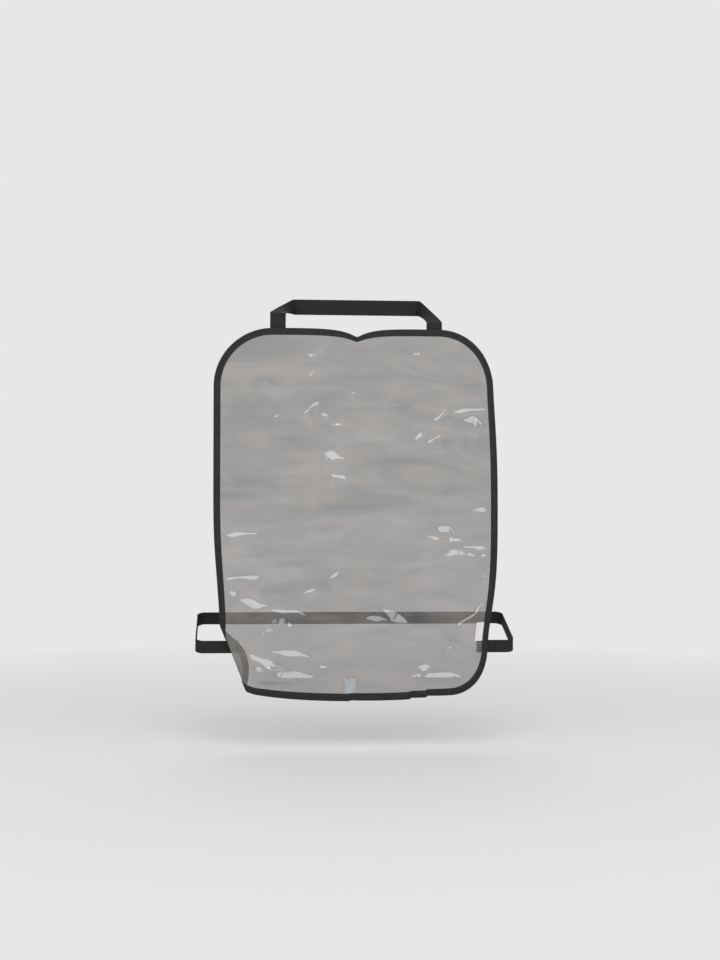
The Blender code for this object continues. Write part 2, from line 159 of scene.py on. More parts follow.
def end_finish(surface, kind="ShaderNodeOutputMaterial"):
    """Puts a shader out as the look of its material or of the surround."""
    output = surface.tree.nodes.new(kind)
    surface.tree.links.new(surface.socket, output.inputs["Surface"])


def link_mesh(name, points, faces, finish, run=None):
    """Makes a smooth mesh object of one finish; run gives each point's place along and across it."""
    data = bpy.data.meshes.new(name)
    data.from_pydata(np.asarray(points).reshape(-1, 3).tolist(), [], faces)
    if run is not None:
        corners = np.empty(len(data.loops), dtype=np.int32)
        data.loops.foreach_get("vertex_index", corners)
        layer = data.uv_layers.new(name="run")
        layer.data.foreach_set("uv", np.asarray(run, dtype=np.float32).reshape(-1, 2)[corners].ravel())
    data.update()
    data.shade_smooth()
    data.materials.append(finish)
    item = bpy.data.objects.new(name, data)
    bpy.context.scene.collection.objects.link(item)
    return item


floor_finish, wire = start_finish("pale_floor")
place = wire.node("ShaderNodeNewGeometry")
far = wire.node("ShaderNodeVectorMath", {"operation": "LENGTH"}, output=1, i0=place)
matt = wire.node("ShaderNodeBsdfPrincipled", Base_Color=(*SURROUND, 1), Roughness=FLOOR_ROUGHNESS)
glow = wire.node("ShaderNodeEmission", Color=(*SURROUND, 1), Strength=1.0)
seen = wire.node("ShaderNodeMixShader", i0=far.range(*FLOOR_FADE), i1=matt, i2=glow)
mirrored = wire.node("ShaderNodeEmission", Color=(*SURROUND, 1), Strength=GLOSS_STRENGTH)
glossy = wire.node("ShaderNodeLightPath", output="Is Glossy Ray")
end_finish(wire.node("ShaderNodeMixShader", i0=glossy * FLOOR_DULLING, i1=seen, i2=mirrored))
corners = [(x * FLOOR_RADIUS, y * FLOOR_RADIUS, cad_box[0][2] - FLOOR_DROP)
           for x, y in ((-1, -1), (1, -1), (1, 1), (-1, 1))]
link_mesh("floor", corners, [(0, 1, 2, 3)], floor_finish)

world = bpy.data.worlds.new("surround")
world.use_nodes = True
world.node_tree.nodes.clear()
wire = Wire(world.node_tree)
direct = wire.node("ShaderNodeLightPath", output="Is Camera Ray")
glossy = wire.node("ShaderNodeLightPath", output="Is Glossy Ray")
strength = direct * (1 - SKY_STRENGTH) + glossy * (GLOSS_STRENGTH - SKY_STRENGTH) + SKY_STRENGTH
sky = wire.node("ShaderNodeBackground", Color=(*SURROUND, 1), Strength=strength)
end_finish(sky, "ShaderNodeOutputWorld")
bpy.context.scene.world = world

lamp_spots = {}
for name, side, height, distance, width, tall, power, colour in SOFT_LIGHTS:
    lamp = bpy.data.lights.new(name, "AREA")
    lamp.shape = "RECTANGLE"
    lamp.size = width
    lamp.size_y = tall
    lamp.energy = power
    lamp.color = colour
    lamp_object = bpy.data.objects.new(name, lamp)
    side, height = math.radians(side), math.radians(height)
    level = math.cos(height)
    away = Vector((math.sin(side) * level, -math.cos(side) * level, math.sin(height)))
    lamp_object.location = LIGHTS_AIM + away * distance
    turned = away.to_track_quat("Z", "Y")
    lamp_object.rotation_euler = turned.to_euler()
    longest = turned @ (Vector((width, 0, 0)) if width > tall else Vector((0, tall, 0)))
    lamp_spots[name] = [lamp_object.location + longest * share
                        for share in np.linspace(-LAMP_SPOTS_END, LAMP_SPOTS_END, LAMP_SPOTS)]
    bpy.context.scene.collection.objects.link(lamp_object)

# The film panel: one sheet of clear soft film, cut with round corners, that hangs in the soft
# rolls and sharp little creases of a folded-up sheet. Its top edge dips at the middle, and its
# bottom left corner has been pulled back behind the panel.
PANEL_WIDTH = 0.4565
PANEL_HEIGHT = 0.583
TOP_RADIUS = 0.093
BOTTOM_RADIUS = 0.071
PANEL_TOP = -0.040
PANEL_BOTTOM = PANEL_TOP - PANEL_HEIGHT
HALF_WIDTH = PANEL_WIDTH / 2
FILM_Y = -0.062
FILM_INSET = 0.0009
FILM_COLUMNS = 184
FILM_ROWS = 500
BINDING_WIDTH = 0.011

# How the panel is pulled in its own plane: the dip, the sag, the droop of the top corners, the
# lifted bottom corner, the pleats and the line that the corner is folded back on
NOTCH_DEPTH = 0.0136
NOTCH_REACH = 0.022
NOTCH_ROUNDING = 0.002
NOTCH_FADE = 0.045
BELLY_DEPTH = 0.0135
BELLY_FADE = 0.120
DROOP_DEPTH = 0.0025
DROOP_FADE = 0.080
CORNER_LIFT = 0.016
CORNER_LIFT_FADE = 0.060
PLEAT_RISE = 0.0024
PLEAT_WIDTH = 0.004
PLEAT_REACH = 0.040
PLEAT_FADE = 0.030
FOLD_RADIUS = 0.0028
FOLD_START = np.array((-HALF_WIDTH + 0.0125, PANEL_BOTTOM + 0.115))
FOLD_END = np.array((-HALF_WIDTH + 0.058, PANEL_BOTTOM))

# How it stands out of that plane: the bow, the edge's ripple and the creases. A side light has to
# suit a crease better than the long one by SIDE_LAMP_MISS, as a slope. A crease's shape is how
# blunt its ends are and how many widths its tail runs down. Its wobbles are how its lit face swells
# and thins above and below its line: turns along it in radians, and the start's step to the next.
BOW_HEIGHT = 0.006
BOW_REACH = 0.110
EDGE_RIPPLE = 0.0012
EDGE_RIPPLE_TURNS = (1.4, 0.6)
CREASE_MARGIN = 0.014
CREASE_LAMPS = ("long_light", "left_light", "right_light")
SPARK_LAMPS = ("small_light",)
SIDE_LAMP_MISS = 0.15
CREASE_SPREAD = 1.3
CREASE_SHAPE = (2.4, 1.7)
SPARK_SHAPE = (6.0, 5.0)
CREASE_WOBBLE = 0.24
CREASE_WOBBLES = ((6.0, 2.1), (8.0, 1.3))
SMALL_STEP = 0.001
MILLIMETRE = 0.001

# Its look: two tones of the film, how much it covers, and the sheen of its reflections
DULL_TONE = (0.080, 0.082, 0.083, 1)
# The pale tone is partly real haze and partly painted reflection of the bright room on the film
HAZE_AND_REFLECTION_TONE = (0.240, 0.206, 0.180, 1)
HAZE_AND_REFLECTION_CONTRAST = 2.8
HAZE_AND_REFLECTION_START = 0.72
HAZE_AND_REFLECTION_STRETCH = (9.0, 9.0, 30.0)
STREAK_STRETCH = (24.0, 24.0, 95.0)
STREAK_RANGE = (0.35, 0.65, 0.15, 0.9)
FILM_COVER = 0.68
FILM_REFRACTION = 1.3
SHEEN_TONE = (0.93, 0.97, 1.0, 1)
SHEEN_ROUGHNESS = 0.10
SHEEN_REFRACTION = 2.1

# Sideways tucks in the edges: side, height as a share of the panel, amount, reach as a share
TUCKS = (
    (1, 0.90, 0.0085, 0.19),
    (1, 0.11, 0.0155, 0.15),
    (-1, 0.27, 0.006, 0.13),
    (-1, 0.155, 0.007, 0.10),
)

# Pleats in the bottom edge: place as a share of the half width, share of the rise
PLEATS = (
    (-0.04, 0.60),
    (0.39, 1.00),
    (0.51, 1.20),
)

# Soft rolls: turns over the height, turns over the half width, start, height
ROLLS = (
    (2.4, 0.22, 0.00, 0.0017),
    (4.3, -0.37, 0.16, 0.0010),
    (9.5, 0.60, 0.40, 0.0003),
    (14.0, -0.80, 0.10, 0.0002),
)

# Creases that catch one of CREASE_LAMPS: width of the lit face and the line that it follows, in
# millimetres across from the middle and up from the upper strap
CREASES = (
    (5.5, (-213, -372), (-178, -369), (-152, -366)),
    (6.5, (-212, -441), (-186, -438), (-150, -438)),
    (6, (-210, -462), (-186, -466)),
    (9, (-188, -473), (-174, -478), (-154, -482), (-135, -483)),
    (5.5, (-144, -489), (-114, -491), (-94, -493), (-74, -502)),
    (9, (-136, -505), (-100, -514)),
    (4, (-152, -528), (-130, -518)),
    (6, (-209, -501), (-190, -506)),
    (6, (-152, -556), (-122, -557), (-95, -560), (-61, -569)),
    (4.5, (-61, -580), (-40, -582)),
    (12, (-192, -544), (-170, -562), (-148, -573), (-116, -582)),
    (11, (-186, -562), (-162, -583), (-130, -590), (-94, -594), (-60, -597)),
    (7, (-176, -588), (-150, -600), (-116, -604), (-80, -606)),
    (6.5, (106, -373), (141, -376), (178, -381)),
    (8, (126, -357), (158, -366)),
    (9, (120, -402), (157, -399), (213, -403)),
    (6, (168, -389), (212, -391)),
    (9, (34, -482), (48, -493), (66, -503), (87, -512)),
    (6, (10, -504), (38, -503), (61, -508)),
    (6, (205, -474), (192, -495), (166, -514), (161, -535)),
    (4, (149, -546), (136, -570)),
    (4, (209, -434), (197, -447)),
    (10, (84, -598), (114, -594), (141, -595), (176, -600)),
    (7, (96, -581), (124, -585)),
    (3, (120, -461), (129, -460)),
    (3, (77, -534), (90, -532)),
    (3, (-98, -469), (-78, -461), (-58, -454)),
    (4, (-48, -445), (-22, -423)),
    (4, (-150, -359), (-130, -341)),
    (4, (-70, -105), (-77, -122), (-85, -133)),
    (4.5, (-60, -157), (-74, -168), (-89, -178)),
    (3.5, (-121, -178), (-134, -183)),
    (3.5, (-62, -174), (-42, -184)),
    (9, (-52, -240), (-16, -250)),
    (7, (-46, -272), (-15, -281)),
    (10, (168, -184), (202, -191)),
    (3, (-4, -142), (-12, -148)),
    (5, (144, -168), (125, -186), (122, -197)),
    (5, (106, -199), (85, -237)),
    (5, (151, -174), (213, -166)),
    (4, (136, -210), (106, -226)),
    (5, (181, -332), (216, -328)),
)

# Steeper creases that catch the small light, in the same form
SPARKS = (
    (2.5, (-77, -84), (-66, -84)),
    (2, (92, -80), (101, -80)),
    (2.2, (-41, -195), (-24, -194)),
)


def smooth(value):
    value = np.clip(value, 0.0, 1.0)
    return value * value * (3 - 2 * value)


def pull(across, up):
    """Moves points of the flat cut panel to where they are pulled within its own plane."""
    share = across / HALF_WIDTH
    from_centre = np.hypot(across, NOTCH_ROUNDING) - NOTCH_ROUNDING
    notch = NOTCH_DEPTH * np.exp(-from_centre / NOTCH_REACH) * np.exp((up - PANEL_TOP) / NOTCH_FADE)
    belly = BELLY_DEPTH * np.cos(share * np.pi / 2) * np.exp((PANEL_BOTTOM - up) / BELLY_FADE)
    droop = DROOP_DEPTH * np.abs(share) ** 3 * np.exp((up - PANEL_TOP) / DROOP_FADE)
    lift = CORNER_LIFT * np.maximum(-share, 0.0) ** 4 * np.exp((PANEL_BOTTOM - up) / CORNER_LIFT_FADE)
    for place, rise in PLEATS:
        beyond = across - place * HALF_WIDTH
        fade = np.maximum(beyond, 0.0) / PLEAT_REACH + (up - PANEL_BOTTOM) / PLEAT_FADE
        lift = lift + PLEAT_RISE * rise * smooth(beyond / PLEAT_WIDTH + 0.5) * np.exp(-fade)
    shift = np.zeros_like(across)
    for side, middle, amount, reach in TUCKS:
        away = (up - PANEL_BOTTOM - middle * PANEL_HEIGHT) / (reach * PANEL_HEIGHT)
        shift -= side * amount * np.maximum(side * share, 0.0) ** 2 * np.exp(-away * away)
    return across + shift, up - notch - belly - droop + lift


def past_fold(across, up):
    """How far points lie beyond the corner's fold line, and the way square to it."""
    along = (FOLD_END - FOLD_START) / np.linalg.norm(FOLD_END - FOLD_START)
    outward = np.array((along[1], -along[0]))
    return (across - FOLD_START[0]) * outward[0] + (up - FOLD_START[1]) * outward[1], outward


# Bands where the film shows less of its pale tone, so less haze and less painted reflection: middle across
# and up, and half sizes, in millimetres
BAND_BLUNTNESS = 1.5
CLEAR_BANDS = (
    (-161, -176, 40, 22), (-94, -144, 38, 8), (-106, -221, 50, 11), (-176, -287, 40, 9),
    (-186, -309, 32, 6), (170, -190, 36, 12), (160, -225, 44, 13), (72, -163, 18, 12),
    (-160, -404, 30, 4), (-112, -461, 22, 4), (34, -524, 22, 6), (98, -503, 18, 11),
    (-150, -128, 26, 10), (60, -250, 40, 12), (-20, -330, 44, 9), (150, -300, 40, 8),
)


def clearness(across, up):
    """How much of the pale look, haze and painted reflection, is missing at each point, from 0 to 1."""
    left = np.ones_like(across)
    for middle, height, half_length, half_height in np.array(CLEAR_BANDS) * MILLIMETRE:
        squeezed = ((across - middle) / half_length) ** 2 + ((up - height) / half_height) ** 2
        left *= 1 - np.exp(-squeezed ** BAND_BLUNTNESS)
    return 1 - left


def soft_height(across, up):
    """How far the soft rolls stand forward of the film's plane, and how much of a crease shows there."""
    share_across = across / HALF_WIDTH
    share_up = (up - PANEL_BOTTOM) / PANEL_HEIGHT
    # How far in from the edge the points lie, with one radius for all corners, and from the fold
    radius = (TOP_RADIUS + BOTTOM_RADIUS) / 2
    over_x = np.abs(across) - HALF_WIDTH + radius
    over_z = np.abs(up - (PANEL_TOP + PANEL_BOTTOM) / 2) - PANEL_HEIGHT / 2 + radius
    inside = radius - np.hypot(np.maximum(over_x, 0), np.maximum(over_z, 0))
    inside -= np.minimum(np.maximum(over_x, over_z), 0)
    depth = np.minimum(inside, -past_fold(across, up)[0]) - BINDING_WIDTH
    slack = smooth(depth / BOW_REACH)
    height = slack * BOW_HEIGHT
    for turns_up, turns_across, start, rise in ROLLS:
        turns = turns_up * share_up + turns_across * share_across + start
        height = height + slack * rise * np.sin(math.tau * turns)
    ripple_turns = EDGE_RIPPLE_TURNS[0] * share_up + EDGE_RIPPLE_TURNS[1] * share_across
    height = height + EDGE_RIPPLE * np.sin(math.tau * ripple_turns)
    return height, smooth(depth / CREASE_MARGIN)


def catching_tilt(middle, facing, lamps):
    """How steep a little face has to be, leaning the way given, to mirror a lamp, best the first."""
    place = Vector((middle[0], FILM_Y, middle[1]))
    lean = np.array([soft_height(*(middle + step))[0] - soft_height(*(middle - step))[0]
                     for step in np.eye(2) * SMALL_STEP]) / (2 * SMALL_STEP)
    best = (math.inf, 0.0)
    for name in lamps:
        for spot in lamp_spots[name]:
            half = (spot - place).normalized() + (camera.location - place).normalized()
            wanted = np.array((half.x, half.z)) / -half.y + lean
            tilt = float(wanted @ facing)
            miss = float(np.linalg.norm(wanted - tilt * facing)) + (name != lamps[0]) * SIDE_LAMP_MISS
            best = min(best, (miss, tilt))
    return best[1]


def crease_height(across, up):
    """Flat little faces along the creases, each turned to a light, with a long soft tail below."""
    total = np.zeros_like(across)
    for number, (width, *line) in enumerate(CREASES + SPARKS):
        spark = number >= len(CREASES)
        lamps = SPARK_LAMPS if spark else CREASE_LAMPS
        bluntness, trail = SPARK_SHAPE if spark else CREASE_SHAPE
        width *= MILLIMETRE * CREASE_SPREAD
        line = np.array(line) * MILLIMETRE
        nearest = np.full_like(across, math.inf)
        offset, run, tilt = np.zeros_like(across), np.zeros_like(across), np.zeros_like(across)
        length = 0.0
        for start, step in zip(line, np.diff(line, axis=0)):
            size = np.hypot(*step)
            along = ((across - start[0]) * step[0] + (up - start[1]) * step[1]) / size
            held = np.clip(along, 0, size) / size
            gap = np.hypot(across - start[0] - held * step[0], up - start[1] - held * step[1])
            upward = math.copysign(1.0, step[0])
            side = upward * ((up - start[1]) * step[0] - (across - start[0]) * step[1]) / size
            facing = upward * np.array((-step[1], step[0])) / size
            aim = catching_tilt(start + step / 2, facing, lamps)
            closer = gap < nearest
            nearest = np.where(closer, gap, nearest)
            offset = np.where(closer, side, offset)
            run = np.where(closer, length + along, run)
            tilt = np.where(closer, aim, tilt)
            length += size
        share = run / length
        taper = np.clip(1 - np.abs(2 * share - 1) ** bluntness, 0.0, 1.0)
        above, below = (0.5 + CREASE_WOBBLE * np.sin(share * bends + start * number)
                        for bends, start in CREASE_WOBBLES)
        rise = np.clip(width * taper * above - offset, 0, width * taper * (above + below)) * tilt
        tail = np.exp(-np.maximum(-offset - width * taper * below, 0) / (trail * width))
        beyond = np.exp(-(np.maximum(nearest - np.abs(offset), 0) / width) ** 2)
        total += rise * tail * beyond
    return total


def billow(across, up):
    """How far the hanging film stands forward of its plane."""
    soft, fade = soft_height(across, up)
    return soft + crease_height(across, up) * fade


def hang(across, up, height):
    """Takes points of the flat panel, at a height over the film, to their hanging places."""
    across, up = pull(across, up)
    past, outward = past_fold(across, up)
    past = np.maximum(past, 0.0)
    angle = np.minimum(past / FOLD_RADIUS, np.pi)
    turned = past - angle * FOLD_RADIUS
    radius = FOLD_RADIUS + height
    foot_x, foot_z = across - outward[0] * past, up - outward[1] * past
    reach = radius * np.sin(angle) - turned
    behind = FOLD_RADIUS - radius * np.cos(angle)
    y = FILM_Y + behind - billow(foot_x, foot_z)
    return np.stack((foot_x + outward[0] * reach, y, foot_z + outward[1] * reach), axis=-1)


def grid_faces(rows, columns, round_rows=False, round_columns=False):
    """Four-sided faces of a grid of points, closed on itself in either direction."""
    index = np.arange(rows * columns).reshape(rows, columns)
    if round_rows:
        index = np.concatenate((index, index[:1]))
    if round_columns:
        index = np.concatenate((index, index[:, :1]), axis=1)
    corners = (index[:-1, :-1], index[:-1, 1:], index[1:, 1:], index[1:, :-1])
    return np.stack(corners, axis=-1).reshape(-1, 4).tolist()


up = np.linspace(PANEL_BOTTOM + FILM_INSET, PANEL_TOP - FILM_INSET, FILM_ROWS)
from_top = np.maximum(up - (PANEL_TOP - TOP_RADIUS), 0)
from_bottom = np.maximum(PANEL_BOTTOM + BOTTOM_RADIUS - up, 0)
top_cut = TOP_RADIUS - np.sqrt(np.maximum((TOP_RADIUS - FILM_INSET) ** 2 - from_top ** 2, 0))
bottom_cut = BOTTOM_RADIUS - np.sqrt(np.maximum((BOTTOM_RADIUS - FILM_INSET) ** 2 - from_bottom ** 2, 0))
reach = HALF_WIDTH - np.maximum(top_cut, bottom_cut)
across = reach[:, None] * np.linspace(-1, 1, FILM_COLUMNS)[None, :]
points = hang(across, np.repeat(up[:, None], FILM_COLUMNS, axis=1), np.zeros_like(across))

film_finish, wire = start_finish("clear_film")
spot = wire.node("ShaderNodeTexCoord", output=3)
drift = wire.node("ShaderNodeMapping", i0=spot, i3=HAZE_AND_REFLECTION_STRETCH)
cloud = wire.node("ShaderNodeTexNoise", i0=drift, Scale=1.0, Detail=7.0, Roughness=0.62, Distortion=0.9)
drag = wire.node("ShaderNodeMapping", i0=spot, i3=STREAK_STRETCH)
streak = wire.node("ShaderNodeTexNoise", i0=drag, Scale=1.0, Detail=6.0, Roughness=0.65, Distortion=1.4)
clear = wire.node("ShaderNodeAttribute", {"attribute_name": "clearness"}, output=2)
# The pale tone's mask: partly real haze and partly painted reflection of the bright room, thinned in the
# clear bands
haze_and_reflection = (cloud * HAZE_AND_REFLECTION_CONTRAST - HAZE_AND_REFLECTION_START - clear * streak.range(*STREAK_RANGE)).range(0.0, 1.0)
grain = wire.node("ShaderNodeTexNoise", i0=spot, Scale=900.0, Detail=1.0)
dimple = wire.node("ShaderNodeTexNoise", i0=spot, Scale=110.0, Detail=2.0)
surface = wire.node("ShaderNodeBump", Strength=0.12, Distance=0.0006, Height=dimple + grain * 0.15)
body = wire.node(
    "ShaderNodeBsdfPrincipled",
    Base_Color=haze_and_reflection.mix(DULL_TONE, HAZE_AND_REFLECTION_TONE),
    Roughness=0.5, IOR=FILM_REFRACTION, Alpha=FILM_COVER)
gloss = wire.node("ShaderNodeBsdfPrincipled", Base_Color=SHEEN_TONE, Metallic=1.0,
                  Roughness=SHEEN_ROUGHNESS, Normal=surface)
skin = wire.node("ShaderNodeFresnel", IOR=SHEEN_REFRACTION, Normal=surface)
end_finish(wire.node("ShaderNodeMixShader", i0=skin, i1=body, i2=gloss))
film = link_mesh("film_sheet", points, grid_faces(FILM_ROWS, FILM_COLUMNS), film_finish)
pulled = pull(across, np.repeat(up[:, None], FILM_COLUMNS, axis=1))
layer = film.data.attributes.new("clearness", "FLOAT", "POINT")
layer.data.foreach_set("value", clearness(*pulled).astype(np.float32).ravel())
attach(film, "root")
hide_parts("film_panel")

# The binding: one length of black woven tape, folded over the film's edge all round, a little
# puckered and drawn in where the seam runs.
TAPE_THICKNESS = 0.0006
CLEARANCE = 0.0003
FILM_THICKNESS = 0.0005
BINDING_HALF = FILM_THICKNESS / 2 + CLEARANCE + TAPE_THICKNESS
INNER_FACE = FILM_THICKNESS / 2 + CLEARANCE
EDGE_STEP = 0.0024
STRAIGHT_SHARE = 0.75
SEAM_INSET = 0.0085
TAPE_RIB = 0.0011
TAPE_PICK = 0.0009
TAPE_BLACKS = ((0.013, 0.013, 0.014, 1), (0.030, 0.030, 0.032, 1))
FIBRE_RANGE = (0.3, 0.7)

# One half of the tape's section: inset from the fold, and height over the film's middle
TAPE_SECTION = (
    (0.0000, 0.0000), (0.0001, 0.0006), (0.0004, 0.0010), (0.0010, 0.00115), (0.0030, 0.00125),
    (0.0060, 0.00125), (0.0079, 0.00118), (SEAM_INSET, 0.00100), (0.0092, 0.00115),
    (0.0104, 0.00118), (BINDING_WIDTH, 0.00095), (BINDING_WIDTH, INNER_FACE),
    (0.0060, INNER_FACE), (TAPE_THICKNESS, INNER_FACE),
)


def edge_run(inset, step=EDGE_STEP):
    """Points once round the cut outline, moved in by inset, from its right-hand side and up."""
    top = PANEL_TOP - TOP_RADIUS
    bottom = PANEL_BOTTOM + BOTTOM_RADIUS
    corners = (
        (HALF_WIDTH - TOP_RADIUS, top, TOP_RADIUS),
        (TOP_RADIUS - HALF_WIDTH, top, TOP_RADIUS),
        (BOTTOM_RADIUS - HALF_WIDTH, bottom, BOTTOM_RADIUS),
        (HALF_WIDTH - BOTTOM_RADIUS, bottom, BOTTOM_RADIUS),
    )
    arcs = []
    for quarter, (across, up, radius) in enumerate(corners):
        cells = round(radius * math.pi / 2 / step)
        angles = np.linspace(quarter, quarter + 1, cells + 1) * math.pi / 2
        arcs.append(np.stack((across + (radius - inset) * np.cos(angles),
                              up + (radius - inset) * np.sin(angles)), axis=-1))
    points = []
    for quarter, arc in enumerate(arcs):
        following = arcs[(quarter + 1) % 4][0]
        cells = round((PANEL_WIDTH if quarter % 2 == 0 else PANEL_HEIGHT) * STRAIGHT_SHARE / step)
        shares = np.arange(1, cells)[:, None] / cells
        points += [arc, arc[-1] + (following - arc[-1]) * shares]
    return np.concatenate(points)


def running_length(points):
    """Distance along a run of points, from its first point."""
    steps = np.linalg.norm(np.diff(points, axis=0), axis=1)
    return np.concatenate(((0.0,), np.cumsum(steps)))


def run_of(wire):
    """The places along and across a strip of cloth, in metres."""
    place = wire.node("ShaderNodeUVMap", {"uv_map": "run"})
    return [wire.node("ShaderNodeSeparateXYZ", output=axis, i0=place) for axis in (0, 1)]


section = list(TAPE_SECTION) + [(inset, -height) for inset, height in TAPE_SECTION[:0:-1]]
rims = [edge_run(inset) for inset, height in section]
length = running_length(rims[0])
points = np.stack([hang(rim[:, 0], rim[:, 1], np.full(len(rim), height))
                   for rim, (inset, height) in zip(rims, section)])
run = np.stack([np.stack((length, np.full(len(length), math.copysign(inset, height))), axis=-1)
                for inset, height in section])

tape_finish, wire = start_finish("black_binding_tape")
along, inward = run_of(wire)
spot = wire.node("ShaderNodeTexCoord", output=3)
fuzz = wire.node("ShaderNodeTexNoise", i0=spot, Scale=260.0, Detail=3.0)
pucker = wire.node("ShaderNodeTexNoise", i0=spot, Scale=70.0, Detail=2.0)
dented = wire.node("ShaderNodeBump", Strength=0.7, Distance=0.0012, Height=pucker)
weave = wire.node("ShaderNodeBump", Strength=0.5, Distance=0.0002, Normal=dented,
                  Height=along.waves(TAPE_RIB) * inward.waves(TAPE_PICK) + fuzz)
end_finish(wire.node("ShaderNodeBsdfPrincipled", Base_Color=fuzz.range(*FIBRE_RANGE).mix(*TAPE_BLACKS),
                     Roughness=0.82, Normal=weave))
faces = grid_faces(len(section), len(length), True, True)
binding = link_mesh("binding_tape", points, faces, tape_finish, run)
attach(binding, "root")
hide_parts("edge_binding")

# The elastics: flat ribbed black elastic. The upper one rises from two sewn ends, turns inward
# and runs straight across behind. The lower one runs from one bottom corner round to the other.
STRAP_THICKNESS = 0.0012
STRAP_CELLS = 16
SELVEDGE_SHARE = 0.55
LAP_CELLS = 6
RISER_CELLS = 8
SPAN_CELLS = 40
UPPER_STRAP_LAP = 0.0105
LOWER_RIGHT_LAP = 0.018
LOWER_LEFT_LAP = 0.012
STRAP_OFFSET = BINDING_HALF + CLEARANCE + STRAP_THICKNESS / 2
UPPER_STRAP_WIDTH = 0.025
UPPER_STRAP_SPACING = 0.253
RISERS = {-1: 0.023, 1: 0.0105}
SPAN_INSETS = {-1: 0.0285, 1: 0.022}
STRAP_TURN = 0.004
LOWER_STRAP_WIDTH = 0.020
LOWER_STRAP_Z = PANEL_BOTTOM + 0.0734
LOOP_OVERHANG = 0.0275
LOOP_DEPTH = 0.125
LOOP_RISE = 0.035
LOOP_CORNER = 0.012
BEND_STEPS = 24
STRAP_STEP = 0.003
ELASTIC_RIB = 0.0013
ELASTIC_PICK = 0.0009
# Two blacks of the elastic: the darker one is painted shade in the rib hollows, the lighter one lies on the
# crests
ELASTIC_RIB_SHADE_BLACKS = ((0.008, 0.008, 0.009, 1), (0.022, 0.022, 0.023, 1))


def bend(start, start_way, end, end_way):
    """Points on a smooth curve between two places, given the ways that it leaves and arrives."""
    share = np.linspace(0, 1, BEND_STEPS + 1)[1:-1, None]
    rest = 1 - share
    return (start * rest ** 3 + (start + start_way) * 3 * rest * rest * share
            + (end - end_way) * 3 * rest * share * share + end * share ** 3)


def fill_in(points):
    """Adds points to the long straight stretches of a route."""
    filled = [points[:1]]
    for start, end in zip(points, points[1:]):
        cells = max(1, round(np.linalg.norm(end - start) / STRAP_STEP))
        filled.append(start + (end - start) * np.arange(1, cells + 1)[:, None] / cells)
    return np.concatenate(filled)


def tube_faces(rows, columns):
    """Faces of an open run of closed sections, with a cap at each end."""
    last = rows * columns - 1
    caps = [list(range(columns)), [last - index for index in range(columns)]]
    return grid_faces(rows, columns, False, True) + caps


def strap_piece(name, node, centres, edge_ways, width, finish):
    """A flat elastic along its centre points, given the way to one of its edges at each."""
    along = np.gradient(centres, axis=0)
    along /= np.linalg.norm(along, axis=1)[:, None]
    aside = edge_ways - along * np.sum(edge_ways * along, axis=1)[:, None]
    aside /= np.linalg.norm(aside, axis=1)[:, None]
    through = np.cross(along, aside)
    aside *= np.linalg.norm(edge_ways, axis=1)[:, None]
    places = np.linspace(-1, 1, STRAP_CELLS + 1)
    half = STRAP_THICKNESS / 2 * np.where(np.abs(places) == 1, SELVEDGE_SHARE, 1.0)
    section = np.concatenate((np.stack((places * width / 2, half), axis=-1),
                              np.stack((places * width / 2, -half), axis=-1)[::-1]))
    points = (centres[:, None] + aside[:, None] * section[None, :, :1]
              + through[:, None] * section[None, :, 1:])
    run = np.stack(np.broadcast_arrays(running_length(centres)[:, None], section[None, :, 0]), axis=-1)
    faces = tube_faces(len(centres), len(section))
    item = link_mesh(name, points, faces, finish, run)
    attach(item, "root")
    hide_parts(node)


elastic_finish, wire = start_finish("black_elastic")
along, aside = run_of(wire)
ribs = aside.waves(ELASTIC_RIB)
spot = wire.node("ShaderNodeTexCoord", output=3)
fuzz = wire.node("ShaderNodeTexNoise", i0=spot, Scale=300.0, Detail=3.0)
knit = wire.node("ShaderNodeBump", Strength=0.6, Distance=0.00025,
                 Height=ribs + ribs * along.waves(ELASTIC_PICK) * 0.5 + fuzz)
# The colour follows the ribs, darker in their hollows: painted shade
end_finish(wire.node("ShaderNodeBsdfPrincipled", Base_Color=ribs.range(-1.0, 1.0).mix(*ELASTIC_RIB_SHADE_BLACKS),
                     Roughness=0.75, Normal=knit))


def upper_side(side):
    """One side of the upper elastic, from its sewn end to its span, and the way to an edge at each point."""
    up = np.linspace(PANEL_TOP - UPPER_STRAP_LAP, PANEL_TOP, LAP_CELLS + 1)
    sewn = hang(np.full_like(up, side * UPPER_STRAP_SPACING / 2), up, np.full_like(up, -STRAP_OFFSET))
    shares = np.linspace(0, 1, RISER_CELLS + 1)[1:]
    riser = sewn[-1] + np.array([(0, 0, RISERS[side] * share) for share in shares])
    span = np.array((side * (UPPER_STRAP_SPACING / 2 - SPAN_INSETS[side]), STRAP_THICKNESS / 2, 0))
    slant = bend(riser[-1], np.array((0, 0, STRAP_TURN)), span, np.array((-side * STRAP_TURN, 0, 0)))
    centres = np.concatenate((sewn, riser, slant, span[None]))
    before = len(sewn) + len(riser) - 1
    twist = smooth((np.arange(len(centres)) - before) / (len(centres) - 1 - before))
    ways = np.stack((side * (1 - twist), np.zeros(len(centres)), twist), axis=-1)
    return centres, ways


left, left_ways = upper_side(-1)
right, right_ways = upper_side(1)
between = left[-1] + (right[-1] - left[-1]) * np.arange(1, SPAN_CELLS)[:, None] / SPAN_CELLS
between_ways = np.repeat([(0.0, 0.0, 1.0)], SPAN_CELLS - 1, axis=0)
strap_piece("upper_elastic", "upper_strap", np.concatenate((left, between, right[::-1])),
            np.concatenate((left_ways, between_ways, right_ways[::-1])), UPPER_STRAP_WIDTH, elastic_finish)


